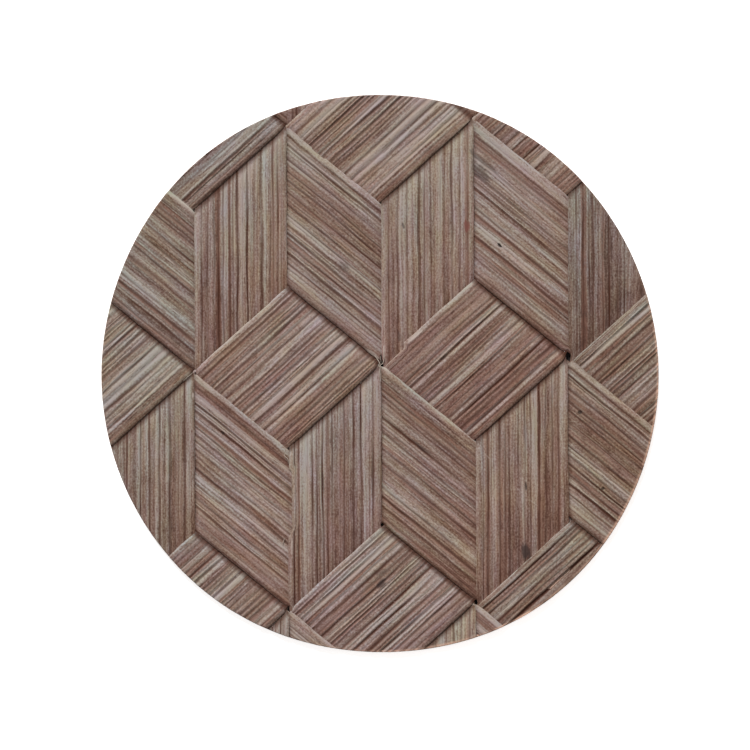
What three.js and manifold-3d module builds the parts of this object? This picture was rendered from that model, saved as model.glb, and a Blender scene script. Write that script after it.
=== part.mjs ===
// Round doormat, woven from wide ribbed strips in three directions and cut round, lying flat.
// Millimetres, +Z up. The origin is on the floor under the middle of the mat.

import * as THREE from 'three';
import { mergeVertices } from 'three/addons/utils/BufferGeometryUtils.js';
import Module from 'manifold-3d';

const wasm = await Module();
wasm.setup();

// Driving sizes of the mat.
const diameter = 601.6;
const baseThickness = 3;
const plateFoot = 1;
const plateTop = 6.4;
const edgeLift = 1.5;
const endDrop = 1;
const curl = 4;
const tuck = 0.06;

// The rim is hand cut, so its radius wanders in a few slow waves.
const rimPoints = 144;
const rimWaves = [
  { lobes: 2, size: 0.87, turn: 120.6 },
  { lobes: 3, size: 0.6, turn: 127.3 },
  { lobes: 4, size: 0.84, turn: -171.6 },
  { lobes: 6, size: 0.43, turn: -19.3 },
];

// The weave is a skewed grid. One star point of it, and the sides of its cells.
const starPoint = new THREE.Vector2(1.7, 10.3);
const falling = new THREE.Vector2(101, -82.7);
const rising = new THREE.Vector2(100.1, 90.8);
const upright = rising.clone().sub(falling);
const downward = upright.clone().negate();

// Three plates start at each star point, one of each direction of strip.
const plateKinds = [
  { name: 'upright', along: upright, across: rising },
  { name: 'rising', along: rising, across: falling },
  { name: 'falling', along: falling, across: downward },
];

// Star points recur on every third point of the grid, this many steps out from the first one.
const gridReach = 5;
const starSpacing = 3;

// The main furrows between the ribs of a strip: place and width as shares of the strip's width, depth in mm.
const furrows = [
  { place: 0.11, width: 0.034, depth: 0.5 },
  { place: 0.29, width: 0.028, depth: 0.4 },
  { place: 0.47, width: 0.04, depth: 0.6 },
  { place: 0.68, width: 0.03, depth: 0.45 },
  { place: 0.86, width: 0.036, depth: 0.5 },
];

// A plate is laid out on these shares of its length, and tucked under its neighbours past both ends.
const lengthStations = [-tuck, 0, 0.13, 0.35, 0.65, 0.87, 1, 1 + tuck];

function acrossStations() {
  const stations = [0, 1];
  for (const { place, width } of furrows) {
    stations.push(place - width, place, place + width);
  }
  return stations.sort((a, b) => a - b);
}

function furrowDepth(share) {
  let depth = 0;
  for (const furrow of furrows) {
    const nearness = 1 - Math.abs(share - furrow.place) / furrow.width;
    depth += furrow.depth * Math.max(0, nearness);
  }
  return depth;
}

// Height of a plate's top: its long edges curl up over the neighbours, its ends dip under them.
function topHeight(alongShare, acrossShare) {
  const toEnd = Math.abs(2 * alongShare - 1);
  const toEdge = Math.abs(2 * acrossShare - 1);
  return plateTop + edgeLift * toEdge ** curl - endDrop * toEnd ** curl - furrowDepth(acrossShare);
}

function bareGeometry(geometry) {
  geometry.deleteAttribute('normal');
  geometry.deleteAttribute('uv');
  return mergeVertices(geometry);
}

function toSolid(geometry) {
  return new wasm.Manifold(new wasm.Mesh({
    numProp: 3,
    vertProperties: new Float32Array(geometry.attributes.position.array),
    triVerts: new Uint32Array(geometry.index.array),
  }));
}

function toGeometry(solid) {
  const mesh = solid.getMesh();
  const geometry = new THREE.BufferGeometry();
  geometry.setAttribute('position', new THREE.BufferAttribute(mesh.vertProperties, 3));
  geometry.setIndex(new THREE.BufferAttribute(mesh.triVerts, 1));
  return geometry;
}

// The rim as seen from above, moved so that its bounding box is centred on the origin.
function rimShape() {
  const points = [];
  for (let i = 0; i < rimPoints; i += 1) {
    const angle = (2 * Math.PI * i) / rimPoints;
    let radius = diameter / 2;
    for (const { lobes, size, turn } of rimWaves) {
      radius += size * Math.cos(lobes * angle + THREE.MathUtils.degToRad(turn));
    }
    points.push(new THREE.Vector2(radius * Math.cos(angle), radius * Math.sin(angle)));
  }
  const middle = new THREE.Box2().setFromPoints(points).getCenter(new THREE.Vector2());
  return new THREE.Shape(points.map((point) => point.sub(middle)));
}

function rimPrism(height) {
  return toSolid(bareGeometry(new THREE.ExtrudeGeometry(rimShape(), { depth: height, bevelEnabled: false })));
}

// One plate: a box of evenly spaced points, moved onto the plate's own slanted, curled and furrowed form.
function plate(corner, kind) {
  const widthStations = acrossStations();
  const lengthSteps = lengthStations.length - 1;
  const widthSteps = widthStations.length - 1;
  const geometry = bareGeometry(new THREE.BoxGeometry(lengthSteps, widthSteps, 1, lengthSteps, widthSteps, 1));
  const points = geometry.attributes.position;
  for (let i = 0; i < points.count; i += 1) {
    const alongShare = lengthStations[Math.round(points.getX(i) + lengthSteps / 2)];
    const acrossShare = widthStations[Math.round(points.getY(i) + widthSteps / 2)];
    const spot = corner.clone();
    spot.addScaledVector(kind.along, alongShare);
    spot.addScaledVector(kind.across, acrossShare);
    const height = points.getZ(i) > 0 ? topHeight(alongShare, acrossShare) : plateFoot;
    points.setXYZ(i, spot.x, spot.y, height);
  }
  const turnsLeft = kind.along.cross(kind.across) > 0;
  if (!turnsLeft) {
    geometry.index.array.reverse();
  }
  return toSolid(geometry);
}

// True where some corner of the plate, or its middle, lies inside the mat.
function reachesMat(corner, kind) {
  const radius = diameter / 2;
  return [[0, 0], [1, 0], [0, 1], [1, 1], [0.5, 0.5]].some(([alongShare, acrossShare]) => {
    const spot = corner.clone();
    spot.addScaledVector(kind.along, alongShare);
    spot.addScaledVector(kind.across, acrossShare);
    return spot.length() < radius;
  });
}

function starPoints() {
  const stars = [];
  for (let i = -gridReach; i <= gridReach; i += 1) {
    for (let j = -gridReach; j <= gridReach; j += 1) {
      if ((i - j) % starSpacing === 0) {
        stars.push(starPoint.clone().addScaledVector(falling, i).addScaledVector(rising, j));
      }
    }
  }
  return stars;
}

function matSolid() {
  let weave = rimPrism(baseThickness);
  for (const star of starPoints()) {
    for (const kind of plateKinds) {
      if (reachesMat(star, kind)) {
        weave = weave.add(plate(star, kind));
      }
    }
  }
  return weave.intersect(rimPrism(plateTop + edgeLift + 1));
}

const mat = new THREE.Mesh(
  toGeometry(matSolid()),
  new THREE.MeshStandardMaterial({ color: 0x8a7466, roughness: 0.85, metalness: 0 }),
);
mat.name = 'mat';

const doormat = new THREE.Group();
doormat.add(mat);

export default doormat;
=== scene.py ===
# Round doormat, woven from wide ribbed strips in three directions and cut round at the rim.
# Metres throughout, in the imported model's frame: +Z up, +Y to the top of the photo, floor at Z = 0.
import math
import random
from collections import namedtuple

import bmesh
import bpy
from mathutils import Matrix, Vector, noise


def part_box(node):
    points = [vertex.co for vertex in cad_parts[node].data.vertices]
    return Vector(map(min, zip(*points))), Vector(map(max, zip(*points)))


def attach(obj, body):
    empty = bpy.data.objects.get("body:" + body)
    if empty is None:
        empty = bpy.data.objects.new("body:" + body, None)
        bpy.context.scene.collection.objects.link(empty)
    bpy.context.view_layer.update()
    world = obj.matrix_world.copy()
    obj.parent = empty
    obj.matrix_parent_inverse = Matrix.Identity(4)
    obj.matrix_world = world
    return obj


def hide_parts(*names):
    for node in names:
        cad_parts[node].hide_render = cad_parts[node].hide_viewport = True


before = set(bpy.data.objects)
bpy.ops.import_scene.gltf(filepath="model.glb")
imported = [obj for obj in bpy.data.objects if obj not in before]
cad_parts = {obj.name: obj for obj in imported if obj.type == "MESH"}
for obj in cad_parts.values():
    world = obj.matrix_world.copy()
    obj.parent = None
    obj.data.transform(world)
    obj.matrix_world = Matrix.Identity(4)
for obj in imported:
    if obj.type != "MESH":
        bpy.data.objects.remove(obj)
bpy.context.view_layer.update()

MM = 0.001

# Where the mat lies in the photo's 750 pixel frame.
PHOTO_WIDTH_PX = 750
MAT_WIDTH_PX = 557.5
MAT_MIDDLE_PX = (380, 373.5)

mat_low, mat_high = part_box("mat")
PIXEL = (mat_high[0] - mat_low[0]) / MAT_WIDTH_PX

# The white ground lies a hair under the mat.
FLOOR_SIZE = 40.0
FLOOR_DROP = 0.2 * MM

# The rim wanders in a few slow waves, as (waves round the rim, size, turn in degrees).
RIM_RADIUS = 300.8 * MM
RIM_WAVES = (
    (2, 0.87 * MM, 120.6),
    (3, 0.60 * MM, 127.3),
    (4, 0.84 * MM, -171.6),
    (6, 0.43 * MM, -19.3),
)

# The weave is a skewed grid: one star point of it, and the sides of its cells.
STAR_POINT = Vector((1.7, 10.3)) * MM
FALLING = Vector((101, -82.7)) * MM
RISING = Vector((100.1, 90.8)) * MM
UPRIGHT = RISING - FALLING

# A strip runs along one side of the cells, and its plates end along the other.
DIRECTIONS = {
    "upright": {"along": -UPRIGHT, "across": RISING},
    "falling": {"along": FALLING, "across": UPRIGHT},
    "rising": {"along": RISING, "across": -FALLING},
}

# Along itself a strip lies on top for one share, then under the others for two.
WEAVE_REPEAT = 3

STRIP_THICKNESS = 1.7 * MM
BASE_THICKNESS = 0.8 * MM
BASE_OVERHANG = 0.6 * MM

# Levels of a strip's upper side: on top, under one neighbour, under both, and a groove's lowest on top.
TOP_LEVEL = 6.4 * MM
MIDDLE_LEVEL = 4 * MM
BOTTOM_LEVEL = 2.5 * MM
LOWEST_GROOVE = MIDDLE_LEVEL + 0.35 * MM

# Its long edges curl up.
EDGE_LIFT = 0.5 * MM
CURL = 5

# Over these shares of a plate's length a hidden run sinks to the bottom, and comes down from its plate.
RAMP = 0.18
TAIL = 0.28

# How much its ribs stand out at a plate's ends and where it is hidden.
END_RELIEF = 0.55
HIDDEN_RELIEF = 0.25

ROW_PITCH = 2.6 * MM
RIM_CHAMFER = 1.1 * MM
INNER_MARGIN = RIM_CHAMFER * 0.9

# A line that the rim cuts shorter than this is left out. Its ends are found by halving a distance.
SHORTEST_LINE = 4 * MM
HALVINGS = 24

# The rim's cut is fresh and pale on this side of the mat.
CUT_SIDE = Vector((0.75, -0.66))
CUT_FADE = (0.1, 0.27)
CUT_WIDTH = (1 * MM, 2.8 * MM)
CUT_DROP = 0.15 * MM

# How far each plate has sunk at its start and its end, where it dives under its neighbours. At its corners it
# sinks less and more steeply, so that its long edge stays over the next plate's end up to where they meet.
CORNER_DROP = 1.15 * MM
CORNER_CURL = 12
CORNER_STEEPNESS = 10
END_DROPS = {
    "upright": (2.2 * MM, 1.4 * MM),
    "falling": (1.65 * MM, 1.4 * MM),
    "rising": (1.5 * MM, 2 * MM),
}

# A strip's long edges roll down, as (place in from the edge, drop), with this tone, redness and darkness.
EDGE_ROLL = ((0.0, 0.95 * MM), (0.7 * MM, 0.45 * MM), (1.8 * MM, 0.14 * MM), (3.2 * MM, 0.0))
ROLL_WIDTH = EDGE_ROLL[-1][0]
ROLL_MARGIN = 0.35 * MM
ROLL_FINISH = (0.5, 0.2, 0.0)

# Over a wider zone they bend down a little as well.
SHOULDER_WIDTH = 9 * MM
SHOULDER_DROP = 0.6 * MM

# A torn edge draws in the ribs beside it over this width, and they lie flatter there. A tear begins and ends
# within this share of a plate.
TORN_REACH = 11 * MM
INSET_FADE = 0.02

# Its left or lower edge, then the other: how pale a painted highlight or how dark a painted shade it has,
# over which width, and how far in from the grid's line it lies. The edges that face the light are painted
# paler, the others darker.
EDGES = {
    "upright": ((0.06, 2.6 * MM, 0.3 * MM), (-0.2, 2.6 * MM, 0.3 * MM)),
    "falling": ((-0.28, 6.5 * MM, 0.6 * MM), (0.34, 5 * MM, 0.3 * MM)),
    "rising": ((-0.2, 3.4 * MM, 0.75 * MM), (0.34, 2.4 * MM, -1 * MM)),
}

# The painted edge light fades between these shares of its width, which itself varies, and is weaker at the
# very brink.
EDGE_LIGHT_FADE = (0.25, 1.2)
EDGE_LIGHT_SPREAD = 1.6
LEAST_EDGE_LIGHT_WIDTH = 0.3
BRINK_EDGE_LIGHT = 0.6
BRINK_WIDTH = 1.2 * MM
DARK_EDGE_RED = 0.2

# How far each edge wanders, slowly and quickly, and how far in its ribs follow it. Further in, they bend.
EDGE_WANDER = ((0.45, 0.3), (0.45, 0.65))
WANDER_REACH = 18 * MM
SLOW_BEND = 1.2
QUICK_BEND = 0.4

# Noise over the strips: waves a metre along them, waves across or from edge to edge, turn for each strip.
NOISES = {
    "slow edge": (9, 7.3, 3.1),
    "quick edge": (62, 3.7, 5.9),
    "edge light width": (28, 1, 0.7),
    "slow bend": (16, 15, 2.3),
    "quick bend": (60, 34, 4.1),
    "swell": (7, 1.5, 1.7),
    "wear": (15, 26, 1.3),
}
SWELL = 0.25 * MM

# Fraying of the cut ends.
FRAY = 0.3 * MM
FRAY_WAVES = 40

# Painted shade and light along each plate: how it darkens and reddens from its start to its end. And how
# every strip pales across itself.
PLATE_SHADE = {"upright": (-0.41, 0.5), "falling": (-0.1, 0.2), "rising": (0.22, -0.25)}
SIDE_FADE = 0.07

# Painted shadow and crevice shade at each plate's start and end, beside the neighbours that cover them, and
# along its left or lower edge, as (strength, where it begins to fade, where it is gone). It is strongest
# where the neighbours' edges cast their shadows.
PAINTED_SHADE_ZONES = {
    "upright": ((0.85, 1.4 * MM, 8.4 * MM), (0.2, 0.5 * MM, 4 * MM), (0.0, 1 * MM, 2 * MM)),
    "falling": ((0.5, 0.8 * MM, 4 * MM), (0.2, 0.5 * MM, 4 * MM), (0.5, 1.6 * MM, 4.2 * MM)),
    "rising": ((0.2, 0.5 * MM, 4 * MM), (0.92, 1.5 * MM, 6 * MM), (0.15, 2 * MM, 3.8 * MM)),
}

# Grooves between the ribs: depth, half width, half width of the dark floor, and darkness of each kind.
GROOVES = {
    "crack": {"depth": 1.4 * MM, "half": 1.8 * MM, "floor": 1.1 * MM, "dark": 0.9},
    "deep": {"depth": 1.05 * MM, "half": 1.8 * MM, "floor": 0.52 * MM, "dark": 0.9},
    "thin": {"depth": 0.55 * MM, "half": 1.45 * MM, "floor": 0.44 * MM, "dark": 0.66},
    "hair": {"depth": 0.25 * MM, "half": 0.95 * MM, "floor": 0.22 * MM, "dark": 0.28},
}
HAIR_SHIFT = 0.25
LIP_DEPTH = 0.12
LIP_DARK = 0.1
FLOOR_TONE = 0.85
DARK_SPREAD = (0.8, 1.05)

# How far the grooves' depth and darkness vary along them, round what is usual. Cracks stay open all along.
USUAL_WEAR = 0.92
WEAR_SPREAD = 0.9
LEAST_WEAR = 0.45
MOST_WEAR = 1.35
DEEPEST_WEAR = 1.05
LEAST_CRACK_WEAR = 0.9
CRACK_REACH = 0.03

# The ribs of each kind of strip: how far they swell up, how coarse they are, and how wide the widest one is.
RIBS = {
    "upright": {"swell": 0.2 * MM, "coarseness": 0.82, "widest": 6.5 * MM},
    "falling": {"swell": 0.28 * MM, "coarseness": 0.95, "widest": 6.5 * MM},
    "rising": {"swell": 0.42 * MM, "coarseness": 1.0, "widest": 8.5 * MM},
}

# A rib has a crown at about each pitch, and no two stations are closer than the least gap. Its own height and
# those of its crowns vary by so many millimetres.
CROWN_PITCH = 3 * MM
LEAST_GAP = 0.2 * MM
RIB_RISE = (-0.15, 0.2)
CROWN_RISE = (-0.06, 0.06)

# Tone of the ribs, and how red the plain ones, the thin red ones and the wide red ones are.
PLAIN_TONE = 0.5
PALE_GAIN = 0.28
RIB_TONE_SPREAD = 0.12
CROWN_TONE_SPREAD = 0.085
FAINT_RED = 0.3
THIN_RIB = 0.05
THIN_RIB_RED = 0.75
WIDE_RIB_RED = 0.5

# The values that the strips' material reads at each point, painted shade among them. Each strip's grain
# starts elsewhere.
FINISHES = ("tone", "red", "redness", "yellow", "groove", "painted_shade", "cut")
LAY_SHIFT = (0.317, 0.713)

Column = namedtuple("Column", "share start low high rise tone red dark")
Place = namedtuple("Place", "column distance share side turn reach to_edge torn")

# What each strip looks like, in percents of its width from its left or lower edge: its grooves of each kind,
# and its pale and red ribs. Bite is how deep and dark its grooves are beside the others'. Tint is how pale,
# red and yellow it is on the whole, and far tint the same where it leaves the mat. An upper edge replaces its
# kind's. An inset is a torn edge, as (start, stop, depth), in plates along the strip and millimetres.
STRIPS = {
    ("upright", -3): dict(
        bite=1.15, deep=(62, 72.5), thin=(17, 27, 41.5, 51.5, 89),
        hair=(6, 12, 24, 35.5, 48, 56.5, 74, 78.5, 85, 94), pale=((38, 40), (57, 60), (66, 69), (90, 94)),
        red=((25, 29), (60, 64), (78, 87)), tint=(-0.015, -0.25, 0.03), far_tint=(-0.015, -0.1, 0.03),
    ),
    ("upright", -2): dict(
        deep=(26, 46.5, 57, 72.5), thin=(8, 14.5, 21.5, 31, 38, 42, 81.5, 85, 90),
        hair=(4, 17.5, 34.5, 52, 61, 65, 68.5, 77.5, 94), pale=((28, 30), (33, 34), (49, 55), (59, 63)),
        red=((14, 16), (21, 25), (36, 38), (80, 84), (88, 97)), tint=(0.065, 0.02, 0.04),
    ),
    ("upright", -1): dict(
        bite=1.2, lower_inset=((0.13, 0.52, 2.9), (0.54, 1, -1.2)), deep=(36.5, 77.5, 90.5),
        thin=(6, 10.5, 25, 30, 42, 47, 59, 69.5), hair=(3, 20, 33, 44, 52, 55, 64, 66.5, 73, 83, 86.5, 96),
        pale=((1, 4), (13, 22), (33, 35.5), (79, 82), (84, 88)),
        red=((8, 12), (23, 28), (39, 45), (52, 58), (94, 100)),
        tint=(0.05, -0.02, -0.06),
    ),
    ("upright", 0): dict(
        bite=0.8, crack=(40.8,), deep=(76,), thin=(8, 18, 28, 46.5, 53.5, 68, 84, 93),
        hair=(4, 13, 23, 34, 44, 50, 57, 61, 64, 72, 80, 88.5), pale=((20, 26), (62, 66), (86, 90)),
        red=((4, 11), (27, 30), (44, 50), (90, 94)), tint=(0.095, 0.08, 0.1), far_tint=(0.075, 0.08, 0.1),
    ),
    ("upright", 1): dict(
        bite=0.93, deep=(13, 26, 32, 53, 68.5), thin=(3, 8, 36, 46, 59, 75.5, 82.5, 89),
        hair=(17, 20, 40, 43, 49, 56, 63, 65, 72, 79, 86, 95), pale=((16, 19), (47, 52), (61, 65), (91, 98)),
        red=((11, 14), (23, 34), (52, 55), (67, 71), (80, 88)), tint=(-0.04, 0.18, 0.11),
    ),
    ("upright", 2): dict(
        bite=1.1, deep=(16.5, 44), thin=(9, 23, 27, 37.5, 53, 60.5),
        hair=(3, 6, 12, 19, 30, 33, 41, 48, 56.5, 64), pale=((4, 13), (26, 28)),
        red=((0, 3), (14, 19), (34, 39), (60, 66)), tint=(-0.17, -0.6, -0.07), far_tint=(-0.17, -0.55, -0.07),
    ),
    ("falling", -3): dict(
        deep=(30, 60, 80), thin=(10, 20, 40, 50, 70, 90), hair=(5, 35, 55, 85), pale=((85, 90),),
        red=((60, 70),), tint=(-0.05, 0.2, 0),
    ),
    ("falling", -2): dict(
        upper_edge=(0.27, 5 * MM, 1.3 * MM), deep=(40, 75.5, 80.5),
        thin=(16, 21.5, 30.5, 43.5, 47.5, 52, 57.5, 61, 65.5, 68.5, 91),
        hair=(3, 5.5, 9, 12.5, 25.5, 33.5, 36.5, 55, 63, 72, 78, 86.5, 94.5),
        pale=((17, 20), (32, 36), (53, 56), (62, 64), (70, 74), (77, 79), (83, 86), (96, 100)),
        red=((0, 15), (21, 26), (67, 69), (87, 95)), tint=(0.06, 0.18, 0.01),
    ),
    ("falling", -1): dict(
        bite=0.95, upper_edge=(0.56, 2.5 * MM, 0.1 * MM), deep=(18, 38.5, 67),
        thin=(5, 11.5, 24, 47.5, 58, 77.5, 80.5, 84.5, 90),
        hair=(8, 14.5, 28, 33, 43, 53, 61, 64, 71, 74, 88, 93.5),
        pale=((8, 9), (21, 23), (25, 31), (41, 43), (70, 76)),
        red=((3, 6), (16, 20), (35, 40), (46, 50), (83, 87)),
        tint=(0.05, -0.6, 0.03), far_tint=(-0.025, 0.4, 0.06),
    ),
    ("falling", 0): dict(
        bite=1.12, upper_edge=(0.24, 6 * MM, 0.6 * MM), upper_inset=((-0.73, -0.6, 1.6),),
        deep=(21, 33, 88.5), thin=(15, 26.5, 38.5, 45, 51, 59, 66.5, 72, 80, 94),
        hair=(3, 5.5, 9, 12, 18, 30, 36, 42, 48, 54, 63, 69, 76, 83, 91.5),
        pale=((7, 11), (23, 25), (40, 44), (75, 78), (84, 87), (90, 93), (95, 100)),
        red=((0, 6), (26, 30), (51, 60), (70, 75)), tint=(0.19, 0, -0.1), far_tint=(-0.04, 0.05, 0.19),
    ),
    ("falling", 1): dict(
        bite=0.78, upper_edge=(0.22, 7 * MM, 0.4 * MM), deep=(27, 41, 56.5, 65.5, 86),
        thin=(4.5, 13, 18, 23, 45, 61, 70.5, 76, 82.5, 90),
        hair=(2, 9, 30, 34, 37, 52, 54, 59, 63, 68, 73, 78.5, 88),
        pale=((28, 38), (43, 45), (49, 51), (73, 75), (92, 100)),
        red=((0, 7), (16, 20), (25, 28), (38, 42), (65, 67), (84, 88)), tint=(0.07, 0.1, 0),
    ),
    ("rising", -3): dict(
        bite=1.35, upper_inset=((-3, 3, 5),), crack=(67.5,), deep=(91.5,), thin=(76, 85), hair=(72, 80, 88),
        pale=((78, 84), (93, 100)), red=((66, 70), (85, 89)), tint=(-0.09, -0.18, 0.12),
    ),
    ("rising", -2): dict(
        bite=0.92, upper_edge=(0.4, 2.4 * MM, 0.4 * MM), upper_inset=((0.9, 2.1, 6),),
        deep=(15.5, 22.5, 30, 39, 46.5, 65, 74, 87), thin=(5, 10, 52, 55, 58, 69, 79, 93.5, 96.5),
        hair=(19, 34, 43, 61, 82.5, 90),
        pale=((18, 21), (32, 38), (40, 44), (48, 50), (60, 63), (76, 77), (84, 86), (89, 92), (97, 100)),
        red=((6, 11), (13, 17), (25, 30), (46, 48), (53, 55), (67, 71), (78, 82)),
        tint=(0.11, 0.18, -0.19), far_tint=(-0.055, -0.25, 0.18),
    ),
    ("rising", -1): dict(
        bite=0.93, upper_inset=((-0.1, 0.22, 5),), deep=(10, 15.5, 24, 50, 69),
        thin=(19.5, 29, 41.5, 54, 60.5, 75.5), hair=(5, 34.5, 44, 57, 64, 72, 79.5, 86, 91.5, 95),
        pale=((7, 8), (25, 27), (38, 40), (46, 48), (51, 53), (65, 67), (70, 73), (97, 100)),
        red=((3, 5), (11, 15), (16, 24), (30, 37), (43, 45), (53, 60), (74, 95)),
        tint=(-0.03, -0.15, -0.15), far_tint=(-0.07, 0.47, 0.15),
    ),
    ("rising", 0): dict(
        bite=0.88, deep=(24.5, 34, 47.5, 66, 77), thin=(7, 11.5, 15.5, 40.5, 54.5, 58.5, 71.5, 81, 91.5, 95),
        hair=(4, 20, 30, 44, 62, 84.5, 87.5), pale=((21, 23), (27, 32), (36, 39), (59, 65), (96, 100)),
        red=((3, 5), (8, 19), (48, 54), (70, 74), (83, 90)),
        tint=(0.09, 0.22, 0.06), far_tint=(0.05, 0.18, 0.06),
    ),
    ("rising", 1): dict(
        bite=0.85, deep=(25, 31, 37.5, 53.5, 60.5), thin=(12.5, 20.5, 46.5, 65, 71.5, 74.5, 81, 90),
        hair=(5, 8.5, 16.5, 42, 50, 57, 69, 77, 85, 95.5),
        pale=(
            (9, 11), (14, 18), (22, 23), (27, 29), (32, 35), (40, 44), (49, 51), (54, 58), (62, 64), (83, 89),
            (92, 94),
        ),
        red=((0, 6), (24, 26), (36, 40), (45, 48), (65, 77)),
        tint=(0.035, -0.27, 0.1), far_tint=(0.085, 0.23, 0.01),
    ),
    ("rising", 2): dict(
        bite=0.6, deep=(12,), thin=(21,), hair=(4.5, 16), pale=((7, 9), (13, 20)), red=((0, 6),),
        tint=(-0.13, -0.6, -0.1),
    ),
}

# Small dark openings where the strips' edges meet: the radius in mm at these corners of the grid, and how
# much taller than wide one is. Edges draw back from a pit within its reach, in radii of it.
WIDE_PITS = {
    (0, 0): 3.0, (1, -1): 1.8, (-2, 0): 1.4, (1, 1): 2.6,
    (-1, 2): 2.0, (1, -2): 2.7, (2, -1): 2.0, (-1, -1): 1.6,
}
TALL_PITS = {(1, 1): 2.2}
STAR_PIT = 1.4
CORNER_PIT = 0.7
PIT_REACH = 3.0
PIT_LEAN = 0.4
PIT_FALL = 1.5
GRID_REACH = 4

# Knots, holes painted black as shade, a red spot, and pale chips and scratches, and painted highlights on
# edges and tips, as (strip, share across, plates along, half length and half width in mm, turn in degrees,
# strength). They fade between these shares of their size.
MARKS = {
    "knot": (
        (("upright", 1), 0.53, 1.965, 11, 5.6, 96, 0.85),
        (("rising", -2), 0.645, -1.37, 8, 4.6, 60, 0.8),
        (("rising", -2), 0.72, -1.3, 9, 3, 15, 0.35),
        (("falling", 0), 0.41, -0.4, 8, 5, -30, 0.4),
        (("falling", 1), 0.7, 1.07, 17, 7, -48, 0.6),
        (("falling", 1), 0.78, 1.1, 22, 3, -39, 0.5),
        (("falling", -1), 0.685, 0.43, 13, 2.8, -39, 0.5),
        (("upright", 0), 0.19, -0.07, 6, 2.6, 90, 0.45),
        (("upright", -1), 0.365, 0.4, 14, 1.6, 90, 0.5),
    ),
    # Painted shade: black in the holes and in the pits where the strips meet.
    "hole": (
        (("falling", 1), 0.34, 1.27, 3.2, 2.3, -60, 0.95),
        (("falling", 0), 0.71, 2.12, 2.4, 2, 0, 0.75),
        (("falling", 0), 0.35, 2.36, 2.2, 1.8, 0, 0.75),
        (("falling", -2), 0.76, -1.7, 2.6, 1.5, -39, 0.7),
        (("upright", 1), 0.54, 1.57, 6, 1.4, 95, 0.7),
        (("upright", 0), 0.24, -0.73, 3.4, 1.2, 110, 0.55),
        (("rising", -1), 0.69, 0.36, 6, 1.8, 42, 0.5),
        (("falling", 0), 0.99, 1.994, 5, 2.3, 90, 0.9),
        (("upright", 0), -0.004, -0.036, 5, 1.4, 90, 0.85),
        (("upright", -2), 0.005, -0.986, 1.9, 1.3, 90, 0.8),
        (("upright", -1), -0.012, 0.987, 3, 1.6, 70, 0.85),
    ),
    "red": (
        (("upright", 0), 0.92, -0.37, 8, 3.4, 92, 0.8),
    ),
    # Partly real chips and scratches, partly painted highlights on lit edges and tips.
    "pale": (
        (("falling", -1), 0.985, -2.116, 18, 3.2, -39, 0.4),
        (("rising", -1), 0.985, 0.34, 12, 2.2, 42, 0.6),
        (("upright", -1), 0.03, 0.62, 10, 1.7, 90, 0.4),
        (("falling", 0), 0.018, -0.095, 11, 2.1, -39, 0.45),
        (("falling", -1), 0.985, 0.06, 9, 2.6, -39, 0.45),
        (("upright", 0), 0.024, -0.062, 9, 0.9, 90, 0.55),
        (("upright", -3), 0.98, -0.864, 2.8, 1.3, 90, 0.6),
        (("upright", -1), 0.02, 0.049, 3.5, 1, 80, 0.5),
        (("upright", 1), 0.474, 1.56, 6.5, 0.6, -44, 0.3),
        (("upright", 1), 0.623, 1.712, 7.5, 0.6, -36, 0.3),
        (("upright", 1), 0.134, 1.171, 9, 0.7, -48, 0.22),
    ),
}
MARK_BORDER = (0.45, 1.15)
MARK_RAGGEDNESS = 1.6

# Loose fibres at frayed tips and edges: radius in mm, then places in the photo's pixels.
FIBRES = (
    (0.5, ((373.6, 353.6), (377.4, 359.4), (379.5, 362.9), (380.2, 366), (379.9, 372), (380.1, 379))),
    (0.4, ((384, 348), (383.8, 353), (384.2, 357.5), (383.4, 361.6), (382.1, 364), (380.7, 364.8))),
    (0.25, ((380.4, 355.8), (380.7, 359.6), (381.3, 363.4))),
    (0.3, ((285.2, 537.6), (283.6, 541), (282.8, 546.2))),
    (0.4, ((283.6, 453.6), (285.2, 456.4), (288, 459.6), (288.2, 463.8))),
    (0.35, ((183.5, 381), (188.2, 376.4), (193, 372.4))),
    (0.35, ((427.2, 363.2), (426.2, 360.6), (427.8, 357.4))),
)
FIBRE_LEVEL = 5.9 * MM
FIBRE_ARCH = 0.5 * MM
FIBRE_TIP = 0.4


def smooth_step(value, start, end):
    share = min(max((value - start) / (end - start), 0.0), 1.0)
    return share * share * (3 - 2 * share)


def rim_radius(angle):
    waves = (size * math.cos(count * angle + math.radians(turn)) for count, size, turn in RIM_WAVES)
    return RIM_RADIUS + sum(waves)


def rim_middle():
    """The middle of the wavy rim's bounding box, which is the mat's origin."""
    angles = [2 * math.pi * i / 360 for i in range(360)]
    spots = [Vector((math.cos(a), math.sin(a))) * rim_radius(a) for a in angles]
    xs = [spot.x for spot in spots]
    ys = [spot.y for spot in spots]
    return Vector(((min(xs) + max(xs)) / 2, (min(ys) + max(ys)) / 2))


RIM_MIDDLE = rim_middle()


def inside_rim(spot):
    """How far a spot lies inside the rim, negative outside it."""
    from_middle = spot + RIM_MIDDLE
    return rim_radius(math.atan2(from_middle.y, from_middle.x)) - from_middle.length


def held_inside_rim(spot, margin):
    """The spot, drawn in where it lies nearer to the rim than the margin."""
    over = margin - inside_rim(spot)
    if over <= 0:
        return spot
    return spot - (spot + RIM_MIDDLE).normalized() * over


def strip_spot(strip, across, along):
    """A place on a strip, from shares of its width and of its plates' length."""
    direction_name, index = strip
    direction = DIRECTIONS[direction_name]
    return STAR_POINT + direction["across"] * (index + across) + direction["along"] * along


# Camera, lights and floor.

def put(name, data, place):
    thing = bpy.data.objects.new(name, data)
    thing.location = place
    bpy.context.scene.collection.objects.link(thing)
    return thing


def to_mesh(name, bm):
    mesh = bpy.data.meshes.new(name)
    bm.to_mesh(mesh)
    bm.free()
    return mesh


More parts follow.
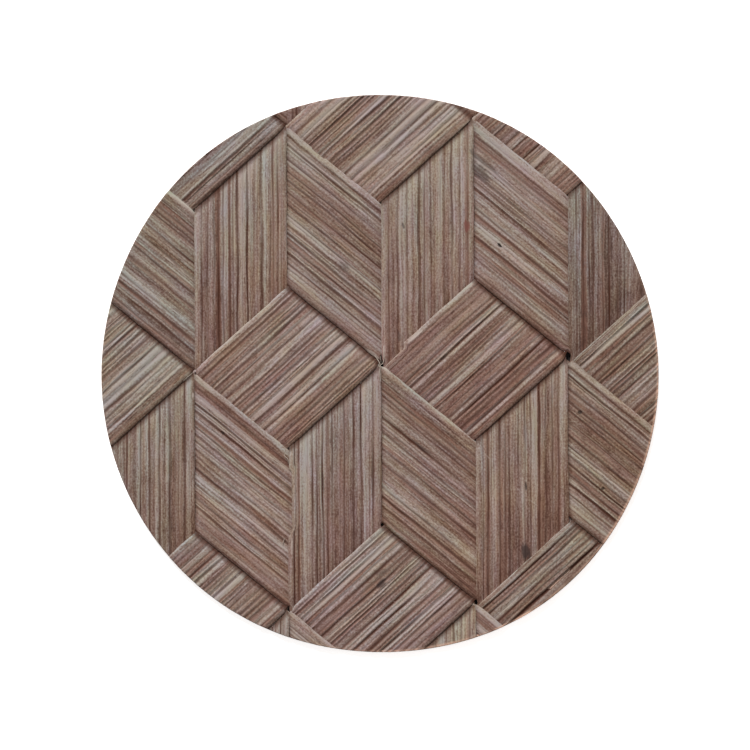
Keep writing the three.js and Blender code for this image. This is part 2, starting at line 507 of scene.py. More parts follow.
def make_camera():
    data = bpy.data.cameras.new("camera")
    data.lens = 100.0
    data.sensor_width = 36.0
    view_width = PHOTO_WIDTH_PX * PIXEL
    half = PHOTO_WIDTH_PX / 2
    place = Vector((
        (half - MAT_MIDDLE_PX[0]) * PIXEL,
        (MAT_MIDDLE_PX[1] - half) * PIXEL,
        TOP_LEVEL + view_width * data.lens / data.sensor_width,
    ))
    bpy.context.scene.camera = put("camera", data, place)
    bpy.context.scene.view_settings.view_transform = "Standard"


def make_light():
    sun = bpy.data.lights.new("key", "SUN")
    sun.energy = 4.3
    sun.angle = math.radians(15)
    sun.color = (1.0, 0.99, 0.98)
    key = put("key", sun, (0, 0, 2))
    left_of_top = math.radians(18)
    height = math.radians(31)
    towards = Vector((
        -math.sin(left_of_top) * math.cos(height),
        math.cos(left_of_top) * math.cos(height),
        math.sin(height),
    ))
    key.rotation_euler = towards.to_track_quat("Z", "Y").to_euler()

    world = bpy.data.worlds.new("studio")
    world.use_nodes = True
    background = world.node_tree.nodes["Background"]
    background.inputs["Color"].default_value = (1.0, 0.965, 0.935, 1)
    background.inputs["Strength"].default_value = 0.46
    bpy.context.scene.world = world


def make_floor(material):
    bm = bmesh.new()
    bmesh.ops.create_grid(bm, x_segments=1, y_segments=1, size=FLOOR_SIZE)
    bmesh.ops.translate(bm, verts=bm.verts, vec=(0, 0, -FLOOR_DROP))
    mesh = to_mesh("floor", bm)
    mesh.materials.append(material)
    put("floor", mesh, (0, 0, 0))


# The strips.

def strip_height(turn, across, end_drops):
    """A strip's height without its ribs, its edges' lift there, and how much its ribs stand out."""
    to_side = abs(2 * across - 1)
    curled = to_side ** CURL
    lift = EDGE_LIFT * curled
    near_start = turn < 0.5 or turn > (WEAVE_REPEAT + 1) / 2
    drop = end_drops[0] if near_start else end_drops[1]
    drop += (CORNER_DROP - drop) * to_side ** CORNER_CURL
    if turn <= 1:
        dip = abs(2 * turn - 1) ** (CURL + CORNER_STEEPNESS * curled)
        return TOP_LEVEL - drop * dip, lift, 1 - (1 - END_RELIEF) * dip
    past = turn - 1
    ahead = WEAVE_REPEAT - turn
    past_start = max(across - RAMP / 2, 0)
    ahead_start = max(1 - across - RAMP / 2, 0)
    sunk = min(
        smooth_step(past, past_start, past_start + RAMP),
        smooth_step(ahead, ahead_start, ahead_start + RAMP),
    )
    hidden = MIDDLE_LEVEL - (MIDDLE_LEVEL - BOTTOM_LEVEL) * sunk
    near_end = max(1 - past / TAIL, 0) ** 2 + max(1 - ahead / TAIL, 0) ** 2
    relief = HIDDEN_RELIEF + (END_RELIEF - HIDDEN_RELIEF) * near_end
    return hidden + (TOP_LEVEL - drop - MIDDLE_LEVEL) * near_end, lift * near_end, relief


def shares(percents):
    return [percent / 100 for percent in percents]


def groove_list(look, width, widest_rib, dice):
    """Every groove across a strip, with hair grooves added where its ribs would be too wide."""
    grooves = sorted((share * width, kind) for kind in GROOVES for share in shares(look.get(kind, ())))
    grooves = [groove for groove in grooves if ROLL_WIDTH + MM < groove[0] < width - ROLL_WIDTH - MM]
    filled = []
    before = ROLL_WIDTH
    for place, kind in grooves + [(width - ROLL_WIDTH, None)]:
        gap = place - before
        spare = int(gap / widest_rib)
        for i in range(spare):
            shift = dice.uniform(-HAIR_SHIFT, HAIR_SHIFT)
            filled.append((before + gap * (i + 1 + shift) / (spare + 1), "hair"))
        if kind:
            filled.append((place, kind))
        before = place
    return filled


def rib_finish(look, share, dice):
    """Tone and redness of the rib at this share of its strip's width."""
    tone = PLAIN_TONE + dice.gauss(0, RIB_TONE_SPREAD)
    if any(low <= share <= high for low, high in map(shares, look["pale"])):
        tone += PALE_GAIN
    red = dice.uniform(0, FAINT_RED)
    for low, high in map(shares, look["red"]):
        if low <= share <= high:
            red = THIN_RIB_RED if high - low < THIN_RIB else WIDE_RIB_RED
    return min(max(tone, 0.0), 1.0), red


def rib_plan(look, width, ribs, dice):
    """Stations across a strip: (place, height over the strip, tone, redness, groove darkness)."""
    bite = look.get("bite", 1.0)
    coarseness = ribs["coarseness"]
    stations = [(place, -drop, *ROLL_FINISH) for place, drop in EDGE_ROLL]
    grooves = groove_list(look, width, ribs["widest"], dice)
    last = ROLL_WIDTH
    for place, kind in grooves + [(width - last, None)]:
        rise = dice.uniform(*RIB_RISE) * MM
        tone, red = rib_finish(look, (last + place) / 2 / width, dice)
        start = last + ROLL_MARGIN if last == ROLL_WIDTH else last
        half = GROOVES[kind]["half"] * coarseness if kind else ROLL_MARGIN
        stop = place - half
        crowns = max(round((stop - start) / CROWN_PITCH), 1)
        for i in range(crowns):
            share = (i + 0.5) / crowns
            spot = start + (stop - start) * (i + 0.5) / crowns
            if spot > stations[-1][0] + LEAST_GAP:
                shade = tone + dice.gauss(0, CROWN_TONE_SPREAD)
                swell = ribs["swell"] * math.sin(math.pi * share)
                stations.append((spot, rise + swell + dice.uniform(*CROWN_RISE) * MM, shade, red, 0.0))
        if not kind:
            break
        groove = GROOVES[kind]
        depth = groove["depth"] * coarseness ** 2 * bite
        lip = (rise - LIP_DEPTH * depth, tone, red, LIP_DARK * groove["dark"])
        if stop > stations[-1][0] + LEAST_GAP:
            stations.append((stop, *lip))
        dark = groove["dark"] * dice.uniform(*DARK_SPREAD) * bite
        floor = groove["floor"] * coarseness
        for spot in (place - floor, place + floor):
            stations.append((spot, -depth, tone * FLOOR_TONE, red, dark))
        stations.append((place + half, *lip))
        last = place + half
    stations = [station for station in stations if station[0] < width - ROLL_WIDTH - LEAST_GAP]
    stations += [(width - place, -drop, *ROLL_FINISH) for place, drop in reversed(EDGE_ROLL)]
    return stations


def chord(start, direction):
    """Where a line crosses the rim, as two distances from its start, or None if it misses."""
    middle = -start.dot(direction)
    if inside_rim(start + direction * middle) <= 0:
        return None
    ends = []
    for side in (-1, 1):
        near, far = 0.0, 2 * RIM_RADIUS
        for _ in range(HALVINGS):
            half = (near + far) / 2
            if inside_rim(start + direction * (middle + side * half)) > 0:
                near = half
            else:
                far = half
        ends.append(middle + side * near)
    return ends


def pit_list():
    """Every pit between the strips' edges, as (place, radius, how much taller than wide)."""
    pits = []
    for i in range(-GRID_REACH, GRID_REACH + 1):
        for j in range(-GRID_REACH, GRID_REACH + 1):
            spot = STAR_POINT + FALLING * i + RISING * j
            is_star = (i - j) % WEAVE_REPEAT == 0
            radius = WIDE_PITS.get((i, j), STAR_PIT if is_star else CORNER_PIT)
            if spot.length < RIM_RADIUS:
                pits.append((spot, radius * MM, TALL_PITS.get((i, j), 1.0)))
    return pits


PITS = pit_list()


def clear_of_pits(spot, inward):
    """The spot, moved out of any pit beside it. Inward points to the middle of its strip."""
    for middle, radius, tall in PITS:
        offset = spot - middle
        offset.y /= tall
        reach = PIT_REACH * radius
        if offset.length >= reach:
            continue
        away = (offset + inward * PIT_LEAN * radius).normalized()
        push = away * radius * (1 - offset.length / reach) ** PIT_FALL
        return spot + Vector((push.x, push.y * tall))
    return spot


def listed_inset(insets, along):
    """How far an edge is drawn in further, where that is listed."""
    inset = 0.0
    for start, stop, depth in insets:
        begun = smooth_step(along, start, start + INSET_FADE)
        ended = smooth_step(along, stop, stop + INSET_FADE)
        inset += depth * MM * (begun * (1 - ended))
    return inset


class Strip:
    """One strip of the weave: its lines in the plane, and the look that is listed for it."""

    def __init__(self, kind, index, look):
        self.kind = kind
        self.index = index
        self.look = look
        self.seed = list(DIRECTIONS).index(kind) * 10 + index
        self.plate_start = 2 * index + 2
        along = DIRECTIONS[kind]["along"]
        self.across = DIRECTIONS[kind]["across"]
        self.plate_length = along.length
        self.run = along.normalized()
        self.square = Vector((-self.run.y, self.run.x))
        self.width = self.across.dot(self.square)
        self.edges = (EDGES[kind][0], look.get("upper_edge", EDGES[kind][1]))
        self.insets = (look.get("lower_inset", ()), look.get("upper_inset", ()))
        self.columns = self.find_columns()
        self.longest = max(column.high - column.low for column in self.columns)
        self.first = min(column.low for column in self.columns)

    def find_columns(self):
        """The stations across it whose lines cross the mat, with where they meet the rim."""
        columns = []
        for place, *finish in rib_plan(self.look, self.width, RIBS[self.kind], random.Random(self.seed)):
            share = place / self.width
            start = STAR_POINT + self.across * (self.index + share)
            ends = chord(start, self.run)
            if ends and ends[1] - ends[0] >= SHORTEST_LINE:
                columns.append(Column(share, start, *ends, *finish))
        return columns

    def noise(self, name, reach, share):
        along, across, turn = NOISES[name]
        return noise.noise(Vector((reach * along, share * across, self.seed * turn)))

    def place(self, column, distance):
        """Where a point of a column lies, as its form and its finish go by."""
        along = distance / self.plate_length
        side = 1 if column.share > 0.5 else 0
        turn = (along - self.plate_start) % WEAVE_REPEAT
        reach = column.start.dot(self.run) + distance
        to_edge = min(column.share, 1 - column.share) * self.width
        torn = listed_inset(self.insets[side], along)
        return Place(column, distance, column.share, side, turn, reach, to_edge, torn)

    def spot(self, here):
        """The point as seen from above, where its edge wanders and its ribs bend."""
        inward = -self.square if here.side else self.square
        near_edge = max(1 - here.to_edge / WANDER_REACH, 0)
        slow, quick = EDGE_WANDER[here.side]
        slow *= self.noise("slow edge", here.reach, here.side)
        quick *= self.noise("quick edge", here.reach, here.side)
        shift = inward * (self.edges[here.side][2] + (slow + quick) * MM) * near_edge
        shift += inward * here.torn * max(1 - here.to_edge / TORN_REACH, 0)
        bend = SLOW_BEND * self.noise("slow bend", here.reach, here.share)
        bend += QUICK_BEND * self.noise("quick bend", here.reach, here.share)
        shift += self.square * bend * MM * (1 - near_edge)
        return clear_of_pits(here.column.start + self.run * here.distance + shift, inward)

    def wear(self, here):
        """How deep and dark its grooves are here, beside what is usual for them."""
        wear = USUAL_WEAR + WEAR_SPREAD * self.noise("wear", here.reach, here.share)
        in_crack = any(abs(here.share - crack) < CRACK_REACH for crack in shares(self.look.get("crack", ())))
        wear = min(max(wear, LEAST_CRACK_WEAR if in_crack else LEAST_WEAR), MOST_WEAR)
        if here.to_edge < TORN_REACH:
            wear *= (1 - here.torn / TORN_REACH) ** 2
        return wear

    def heights(self, here, wear):
        """Heights of its upper side and of its underside."""
        level, lift, relief = strip_height(here.turn, here.share, END_DROPS[self.kind])
        swell = SWELL * self.noise("swell", here.reach, here.share)
        shoulder = SHOULDER_DROP * max(1 - here.to_edge / SHOULDER_WIDTH, 0) ** 2
        upper = level + lift - shoulder + swell + here.column.rise * min(wear, DEEPEST_WEAR) * relief
        if here.turn <= 1:
            upper = max(upper, LOWEST_GROOVE)
        return upper, level + swell - STRIP_THICKNESS

    def painted_edge_light(self, here):
        """How pale the painted highlight makes its edge here, or how dark the painted shade where it is
        negative.
        """
        strength, width, _ = self.edges[here.side]
        width *= max(1 + EDGE_LIGHT_SPREAD * self.noise("edge light width", here.reach, here.side), LEAST_EDGE_LIGHT_WIDTH)
        painted_edge_light = strength * (1 - smooth_step(here.to_edge, EDGE_LIGHT_FADE[0] * width, EDGE_LIGHT_FADE[1] * width))
        return painted_edge_light * (BRINK_EDGE_LIGHT + (1 - BRINK_EDGE_LIGHT) * smooth_step(here.to_edge, 0, BRINK_WIDTH))

    def painted_shade(self, here):
        """How dark the painted shadow and crevice shade make it here."""
        from_start = min(here.turn, WEAVE_REPEAT - here.turn) * self.plate_length
        from_end = abs(here.turn - 1) * self.plate_length
        from_edge = self.width if here.side else here.to_edge
        zones = zip((from_start, from_end, from_edge), PAINTED_SHADE_ZONES[self.kind])
        return min(sum(force * (1 - smooth_step(away, *fade)) for away, (force, *fade) in zones), 1.0)

    def finish(self, here, spot, wear):
        """The values of its finish here, painted light and shade among them, in the order of their layers."""
        column = here.column
        part = (here.distance - self.first) / self.longest
        ends = zip(self.look["tint"], self.look.get("far_tint", self.look["tint"]))
        tone, redness, yellow = (enters * (1 - part) + leaves * part for enters, leaves in ends)
        painted_edge_light = self.painted_edge_light(here)
        along_plate = (here.turn if here.turn < 1 else (WEAVE_REPEAT - here.turn) / 2) - 0.5
        darker, redder = PLATE_SHADE[self.kind]
        # Its tone takes the painted highlight or shade of its edges and the painted shade along its plate.
        tone += column.tone + (painted_edge_light + darker * along_plate + SIDE_FADE * (here.share - 0.5))
        less_red = painted_edge_light if painted_edge_light > 0 else DARK_EDGE_RED * painted_edge_light
        fresh = (1 - smooth_step(inside_rim(spot), *CUT_WIDTH)) * smooth_step(spot.dot(CUT_SIDE), *CUT_FADE)
        redness += redder * along_plate - less_red
        return tone, column.red, redness, yellow, column.dark * wear, self.painted_shade(here), fresh


def make_strip(strip, material):
    """One strip as a closed mesh from rim to rim."""
    inner_rows = int(strip.longest / ROW_PITCH)
    last_row = inner_rows + 1
    last_column = len(strip.columns) - 1
    bm = bmesh.new()
    bmesh.ops.create_grid(bm, x_segments=last_column, y_segments=last_row, size=0.5)
    under = bm.verts.layers.float.new("under")
    layers = [bm.verts.layers.float.new(name) for name in FINISHES]
    lay = bm.loops.layers.uv.new("lay")
    lay_places = {}
    sides = {0: set(), last_column: set()}
    for vert in bm.verts:
        number = round((vert.co.x + 0.5) * last_column)
        row = round((vert.co.y + 0.5) * last_row)
        if number in sides:
            sides[number].add(vert)
        column = strip.columns[number]
        at_rim = row in (0, last_row)
        fray = FRAY * noise.noise(Vector((column.share * FRAY_WAVES, strip.seed, row > (last_row + 1) / 2)))
        low = column.low + fray
        high = column.high - fray
        if at_rim:
            distance = high if row else low
        else:
            part = (row - 1) / (inner_rows - 1)
            distance = low + RIM_CHAMFER + (high - low - 2 * RIM_CHAMFER) * part
        here = strip.place(column, distance)
        spot = held_inside_rim(strip.spot(here), abs(fray) if at_rim else INNER_MARGIN)
        wear = strip.wear(here)
        upper, vert[under] = strip.heights(here, wear)
        vert.co = (spot.x, spot.y, upper - CUT_DROP if at_rim else upper)
        for layer, value in zip(layers, strip.finish(here, spot, wear)):
            vert[layer] = value
        across = column.share * strip.width / RIBS[strip.kind]["coarseness"]
        lay_places[vert.index] = (across + LAY_SHIFT[0] * strip.seed, here.reach + LAY_SHIFT[1] * strip.seed)
    for face in bm.faces:
        for loop in face.loops:
            loop[lay].uv = lay_places[loop.vert.index]

    close_underside(bm, under, sides.values())
    name = f"strip_{strip.kind}_{strip.index + 4}"
    mesh = to_mesh(name, bm)
    mesh.shade_smooth()
    return put_piece(name, mesh, material)


def put_piece(name, mesh, material):
    """The finished mesh as a piece of the mat, with its finish."""
    mesh.materials.append(material)
    piece = put(name, mesh, (0, 0, 0))
    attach(piece, "root")
    return piece


def close_underside(bm, under, sides):
    """Walls down from the strip's outline, and an underside that spans from one long edge to the other."""
    outline = [edge for edge in bm.edges if edge.is_boundary]
    made = bmesh.ops.extrude_edge_only(bm, edges=outline)["geom"]
    lower = [part for part in made if isinstance(part, bmesh.types.BMVert)]
    above = {}
    for vert in lower:
        upper = [edge.other_vert(vert) for edge in vert.link_edges if edge.other_vert(vert) not in lower]
        above[vert] = upper[0]
    for vert in lower:
        vert.co.z = above[vert][under]
        vert[under] = above[vert][under]
    rails = []
    for side in sides:
        on_side = {vert for vert in lower if above[vert] in side}
        rails += [
            edge for edge in bm.edges
            if edge.is_boundary and edge.verts[0] in on_side and edge.verts[1] in on_side
        ]
    bmesh.ops.bridge_loops(bm, edges=rails)
    bmesh.ops.holes_fill(bm, edges=[edge for edge in bm.edges if edge.is_boundary])
    bmesh.ops.recalc_face_normals(bm, faces=bm.faces)


def make_base(material):
    """The thin round sheet under the weave, a hair wider than it."""
    bm = bmesh.new()
    bmesh.ops.create_circle(bm, cap_ends=True, segments=240, radius=1.0)
    for vert in bm.verts:
        angle = math.atan2(vert.co.y, vert.co.x)
        spot = Vector((math.cos(angle), math.sin(angle))) * (rim_radius(angle) + BASE_OVERHANG)
        spot -= RIM_MIDDLE
        vert.co = (spot.x, spot.y, 0)
    made = bmesh.ops.extrude_face_region(bm, geom=list(bm.faces), use_keep_orig=True)
    upper = [part for part in made["geom"] if isinstance(part, bmesh.types.BMVert)]
    bmesh.ops.translate(bm, verts=upper, vec=(0, 0, BASE_THICKNESS))
    bmesh.ops.recalc_face_normals(bm, faces=bm.faces)
    return put_piece("base_sheet", to_mesh("base_sheet", bm), material)


def make_fibres(material):
    """The loose fibres as thin tapered tubes, in one mesh."""
    curve = bpy.data.curves.new("fibre lines", "CURVE")
    curve.dimensions = "3D"
    curve.bevel_depth = 1.0
    curve.bevel_resolution = 1
    curve.use_fill_caps = True
    for radius, places in FIBRES:
        line = curve.splines.new("BEZIER")
        last = len(places) - 1
        line.bezier_points.add(last)
        for i, (point, (x, y)) in enumerate(zip(line.bezier_points, places)):
            height = FIBRE_LEVEL + FIBRE_ARCH * math.sin(math.pi * i / last)
            point.co = ((x - MAT_MIDDLE_PX[0]) * PIXEL, (MAT_MIDDLE_PX[1] - y) * PIXEL, height)
            point.handle_left_type = "AUTO"
            point.handle_right_type = "AUTO"
            point.radius = radius * MM if 0 < i < last else FIBRE_TIP * (radius * MM)
    holder = put("fibre lines", curve, (0, 0, 0))
    mesh = bpy.data.meshes.new_from_object(holder)
    bpy.data.objects.remove(holder)
    mesh.name = "loose_fibres"
    mesh.shade_smooth()
    put_piece("loose_fibres", mesh, material)


# Materials.

class Nodes:
    """A node tree, with short ways to add and link the nodes used here."""

    def __init__(self, tree):
        self.tree = tree

    def feed(self, node, inputs):
        for name, value in inputs.items():
            if isinstance(value, bpy.types.NodeSocket):
                self.tree.links.new(value, node.inputs[name])
            else:
                node.inputs[name].default_value = value

    def add(self, kind, inputs, output, **settings):
        """A new node with its settings and its inputs, as the socket of its output."""
        node = self.tree.nodes.new(kind)
        for name, value in settings.items():
            setattr(node, name, value)
        self.feed(node, inputs)
        return node.outputs[output]

    def shade(self, inputs):
        self.feed(self.tree.nodes["Principled BSDF"], inputs)

    def attribute(self, name):
        return self.add("ShaderNodeAttribute", {}, "Fac", attribute_name=name)

    def place(self):
        return self.add("ShaderNodeTexCoord", {}, "Object")

    def maths(self, operation, first, second):
        return self.add("ShaderNodeMath", {0: first, 1: second}, "Value", operation=operation)

    def plus(self, first, second):
        return self.maths("ADD", first, second)

    def minus(self, first, second):
        return self.maths("SUBTRACT", first, second)

    def times(self, first, second):
        return self.maths("MULTIPLY", first, second)

    def vector_maths(self, operation, output, *vectors):
        return self.add("ShaderNodeVectorMath", dict(enumerate(vectors)), output, operation=operation)

    def mix(self, factor, first, second):
        """The first colour at 0 and under, the second at 1 and over."""
        inputs = {"Factor": factor, MIX_FIRST: first, MIX_SECOND: second}
        return self.add("ShaderNodeMix", inputs, MIX_RESULT, data_type="RGBA")

    def between(self, value, low, high):
        """0 where the value is at or under low, 1 where it is at or over high."""
        inputs = {"Value": value, "From Min": low, "From Max": high}
        return self.add("ShaderNodeMapRange", inputs, "Result", interpolation_type="SMOOTHSTEP")

    def grain(self, place, across, along, detail, roughness=0.5):
        """The grain group at a place, with so many grains a metre across and along."""
        inputs = {"Place": place, "Scale": (across, along, 1), "Detail": detail, "Roughness": roughness}
        return self.add("ShaderNodeGroup", inputs, "Grain", node_tree=GRAIN)

    def sway(self, value, amount):
        """A noise value as a swing round zero."""
        return self.times(self.minus(value, 0.5), amount)

    def warmed(self, colour, redness, blueness):
        """The colour with its red, green and blue scaled, as lightness stays about the same."""
        red = self.times(redness, RED_GAIN)
        blue = self.minus(self.times(blueness, BLUE_GAIN), self.times(redness, BLUE_LOSS))
        gains = {"X": self.plus(1.0, red), "Y": self.minus(1.0, red), "Z": self.plus(1.0, blue)}
        scales = self.add("ShaderNodeCombineXYZ", gains, "Vector")
        return self.vector_maths("MULTIPLY", "Vector", colour, scales)

    def bump(self, height, strength, distance):
        inputs = {"Height": height, "Strength": strength, "Distance": distance}
        self.shade({"Normal": self.add("ShaderNodeBump", inputs, "Normal")})


def grain_group():
    """Noise that is stretched along one side, for every finish of the mat."""
    group = bpy.data.node_groups.new("grain", "ShaderNodeTree")
    for name, kind in (("Place", "Vector"), ("Scale", "Vector"), ("Detail", "Float"), ("Roughness", "Float")):
        group.interface.new_socket(name, in_out="INPUT", socket_type=f"NodeSocket{kind}")
    group.interface.new_socket("Grain", in_out="OUTPUT", socket_type="NodeSocketFloat")
    nodes = Nodes(group)
    given = group.nodes.new("NodeGroupInput").outputs
    stretched = nodes.vector_maths("MULTIPLY", "Vector", given["Place"], given["Scale"])
    inputs = {"Vector": stretched, "Scale": 1.0, "Detail": given["Detail"], "Roughness": given["Roughness"]}
    nodes.feed(group.nodes.new("NodeGroupOutput"), {"Grain": nodes.add("ShaderNodeTexNoise", inputs, "Fac")})
    return group


def new_material(name):
    material = bpy.data.materials.new(name)
    material.use_nodes = True
    return material, Nodes(material.node_tree)


def mark_masks(nodes, grain):
    """How strong each kind of mark is: ovals with borders that the grain makes ragged."""
    place = nodes.place()
    ragged = nodes.sway(grain, MARK_RAGGEDNESS)
    masks = {}
    for kind, marks in MARKS.items():
        masks[kind] = 0.0
        for strip, across, along, half_length, half_width, turn, force in marks:
            spot = strip_spot(strip, across, along)
            inputs = {
                "Vector": place,
                "Location": (spot.x, spot.y, 0),
                "Rotation": (0, 0, math.radians(turn)),
                "Scale": (half_length * MM, half_width * MM, 1),
            }
            oval = nodes.add("ShaderNodeMapping", inputs, "Vector", vector_type="TEXTURE")
            away = nodes.plus(nodes.vector_maths("LENGTH", "Value", oval), ragged)
            inside = nodes.minus(1.0, nodes.between(away, *MARK_BORDER))
            masks[kind] = nodes.maths("MAXIMUM", masks[kind], nodes.times(inside, force))
    return masks


# The strips' wood from dark to pale, and the colours laid over it.
TONES = (
    (0.0, (0.086, 0.046, 0.034)),
    (0.16, (0.128, 0.074, 0.057)),
    (0.34, (0.172, 0.112, 0.089)),
    (0.52, (0.214, 0.154, 0.126)),
    (0.7, (0.262, 0.203, 0.171)),
    (0.86, (0.3, 0.248, 0.213)),
    (1.0, (0.342, 0.298, 0.263)),
)
RED_WOOD = (0.18, 0.085, 0.06, 1)
GROOVE_BROWN = (0.055, 0.019, 0.011, 1)
SHADE_BLACK = (0.012, 0.008, 0.007, 1)
# The holes' black is painted shade, and the pale marks are partly painted highlight.
MARK_COLOURS = {
    "knot": (0.04, 0.026, 0.024, 1),
    "red": (0.16, 0.055, 0.045, 1),
    "pale": (0.45, 0.385, 0.345, 1),
    "hole": SHADE_BLACK,
}
RIM_PEACH = (0.56, 0.35, 0.26, 1)
FIBRE_GRAIN = (900, 900, 2)
FIBRE_COLOURS = ((0.26, 0.2, 0.16, 1), (0.5, 0.44, 0.38, 1))
FELT_COLOURS = ((0.12, 0.068, 0.05, 1), (0.34, 0.21, 0.16, 1))

# How strongly redness and blueness scale a colour.
RED_GAIN = 0.1
BLUE_GAIN = 0.4
BLUE_LOSS = 0.125

# The noises of the strips' finish: grains a metre across and along, detail, roughness.
STRIP_GRAINS = {
    "lines": (220, 9, 2),
    "fine": (420, 95, 1),
    "threads": (340, 8, 1),
    "dashes": (380, 60, 2),
    "speck": (540, 430, 1),
    "blotches": (60, 30, 2),
    "patches": (26, 9, 3, 0.6),
    "hues": (130, 16, 2),
    "tints": (90, 22, 3, 0.6),
    "washes": (11, 6, 1),
}

# How strongly they sway its tone, its redness and its blueness, and how high they stand.
TONE_SWAYS = {"lines": 0.5, "fine": 0.75, "speck": 1.2, "blotches": 0.45, "patches": 0.35}
RED_SWAYS = {"hues": 1.9, "patches": 0.9}
BLUE_SWAYS = {"tints": 1.6, "washes": 0.8}
RELIEF = {"lines": 1.5, "fine": 1.0, "speck": 0.4}
TONE_SHIFT = -0.16
BLUENESS = 0.045

# Masks made from them: the noise, where the mask begins, where it is full, and its strength.
GRAIN_MASKS = {
    "pale lines": ("lines", 0.3, 0.44, 0.2),
    "pale threads": ("threads", 0.56, 0.72, 0.3),
    "red patches": ("patches", 0.15, 0.5, 1.0),
    "red grain": ("fine", 0.2, 0.65, 0.8),
    "grooves": ("speck", 0.1, 0.5, 0.95),
    "dark dashes": ("dashes", 0.62, 0.74, 0.57),
    "fresh cut": ("blotches", 0.2, 0.6, 0.8),
}
# How strongly the painted shadow and crevice shade darken the wood.
PAINTED_SHADE_STRENGTH = 0.93
HOLE_DEPTH = 2.0
WOOD_GLOSS = 0.14
WOOD_ROUGHNESS = 0.72
ROUGHNESS_SPREAD = 0.2

# The noises of the felt. Under the weave, further in than this, it is painted black as shade, so that the
# pits look dark.
FELT_FIBRES = (1400, 1400, 3, 0.7)
FELT_CLUMPS = (90, 90, 2)
FELT_SWAYS = {"fibres": 1.4, "clumps": 0.8}
FELT_SHADE_REACH = (0.285, 0.295)
FELT_SHADE_LEVEL = (0.6 * BASE_THICKNESS, 0.8 * BASE_THICKNESS)

# The sockets of a mix node that hold colours.
MIX_FIRST = 6
MIX_SECOND = 7
MIX_RESULT = 2

GRAIN = grain_group()


def swayed(nodes, value, grains, sways):
    """The value with the sway of these noises added."""
    for name, amount in sways.items():
        value = nodes.plus(value, nodes.sway(grains[name], amount))
    return value


def strip_grains(nodes):
    """The noises of the strips' finish, and the masks made from them, by name."""
    lay = nodes.add("ShaderNodeUVMap", {}, "UV", uv_map="lay")
    grains = {name: nodes.grain(lay, *values) for name, values in STRIP_GRAINS.items()}
    for name, (grain, begins, full, strength) in GRAIN_MASKS.items():
        grains[name] = nodes.times(nodes.between(grains[grain], begins, full), strength)
    return grains


def wood_colour(nodes, grains):
    """The bare wood, from dark to pale, warmer and cooler in places, with its red ribs."""
    tone = swayed(nodes, nodes.attribute("tone"), grains, TONE_SWAYS)
    for name in ("pale lines", "pale threads"):
        tone = nodes.plus(tone, grains[name])
    colour = nodes.add("ShaderNodeValToRGB", {"Fac": nodes.plus(tone, TONE_SHIFT)}, "Color")
    stops = colour.node.color_ramp.elements
    for place, shade in TONES[1:-1]:
        stops.new(place).color = (*shade, 1)
    stops[0].color = (*TONES[0][1], 1)
    stops[-1].color = (*TONES[-1][1], 1)

    redness = swayed(nodes, nodes.attribute("redness"), grains, RED_SWAYS)
    blueness = swayed(nodes, BLUENESS, grains, BLUE_SWAYS)
    colour = nodes.warmed(colour, redness, nodes.minus(blueness, nodes.attribute("yellow")))
    red = nodes.times(nodes.attribute("red"), grains["red patches"])
    return nodes.mix(nodes.times(red, grains["red grain"]), colour, RED_WOOD)


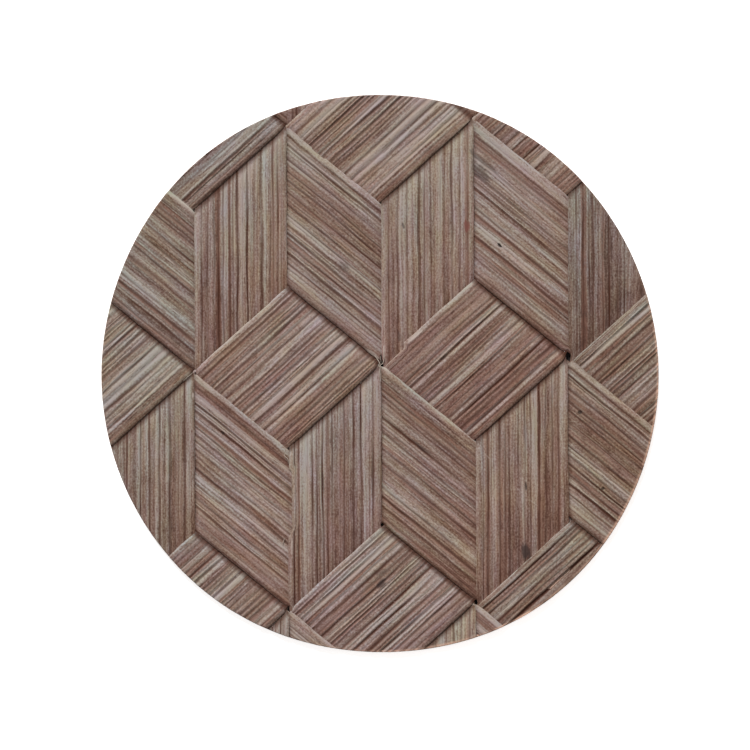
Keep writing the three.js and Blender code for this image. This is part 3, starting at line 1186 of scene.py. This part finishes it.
def strip_material():
    """Weathered ribbed wood: grain, grooves and painted shade, then the marks, then the fresh cut at the rim.
    """
    material, nodes = new_material("weathered strip")
    grains = strip_grains(nodes)
    colour = wood_colour(nodes, grains)
    groove = nodes.times(nodes.attribute("groove"), grains["grooves"])
    colour = nodes.mix(nodes.maths("MAXIMUM", groove, grains["dark dashes"]), colour, GROOVE_BROWN)
    # Painted shadow and crevice shade at the plates' ends and lower edges.
    colour = nodes.mix(nodes.times(nodes.attribute("painted_shade"), PAINTED_SHADE_STRENGTH), colour, GROOVE_BROWN)
    marks = mark_masks(nodes, grains["dashes"])
    for kind, mark_colour in MARK_COLOURS.items():
        colour = nodes.mix(marks[kind], colour, mark_colour)
    colour = nodes.mix(nodes.times(nodes.attribute("cut"), grains["fresh cut"]), colour, RIM_PEACH)

    height = nodes.times(marks["hole"], -HOLE_DEPTH)
    for name, amount in RELIEF.items():
        height = nodes.plus(height, nodes.times(grains[name], amount))
    nodes.bump(height, strength=0.65, distance=0.6 * MM)
    roughness = nodes.plus(WOOD_ROUGHNESS, nodes.times(grains["speck"], ROUGHNESS_SPREAD))
    nodes.shade({"Base Color": colour, "Roughness": roughness, "Specular IOR Level": WOOD_GLOSS})
    return material


def fibre_material():
    """Dry bare wood fibre."""
    material, nodes = new_material("loose fibre")
    colour = nodes.mix(nodes.grain(nodes.place(), *FIBRE_GRAIN), *FIBRE_COLOURS)
    nodes.shade({"Base Color": colour, "Roughness": 0.85, "Specular IOR Level": WOOD_GLOSS})
    return material


def base_material():
    """Brown felt, painted black as shade where the weave covers it."""
    material, nodes = new_material("base felt")
    place = nodes.place()
    grains = {"fibres": nodes.grain(place, *FELT_FIBRES), "clumps": nodes.grain(place, *FELT_CLUMPS)}
    colour = nodes.mix(swayed(nodes, 0.5, grains, FELT_SWAYS), *FELT_COLOURS)
    upper = nodes.between(nodes.add("ShaderNodeSeparateXYZ", {"Vector": place}, "Z"), *FELT_SHADE_LEVEL)
    outer = nodes.between(nodes.vector_maths("LENGTH", "Value", place), *FELT_SHADE_REACH)
    # Painted shade: black on its upper side under the weave, further in than the rim.
    colour = nodes.mix(nodes.minus(upper, outer), colour, SHADE_BLACK)
    nodes.shade({"Base Color": colour, "Roughness": 0.95})
    nodes.bump(grains["fibres"], strength=0.6, distance=0.3 * MM)
    return material


def floor_material():
    material, nodes = new_material("white paper")
    nodes.shade({"Base Color": (0.9, 0.9, 0.9, 1), "Roughness": 0.9})
    nodes.shade({"Emission Color": (1, 1, 1, 1), "Emission Strength": 0.62})
    return material


make_camera()
make_light()
make_floor(floor_material())

strip_finish = strip_material()
strips = [make_strip(Strip(kind, index, look), strip_finish) for (kind, index), look in STRIPS.items()]
make_fibres(fibre_material())
base = make_base(base_material())
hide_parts("mat")
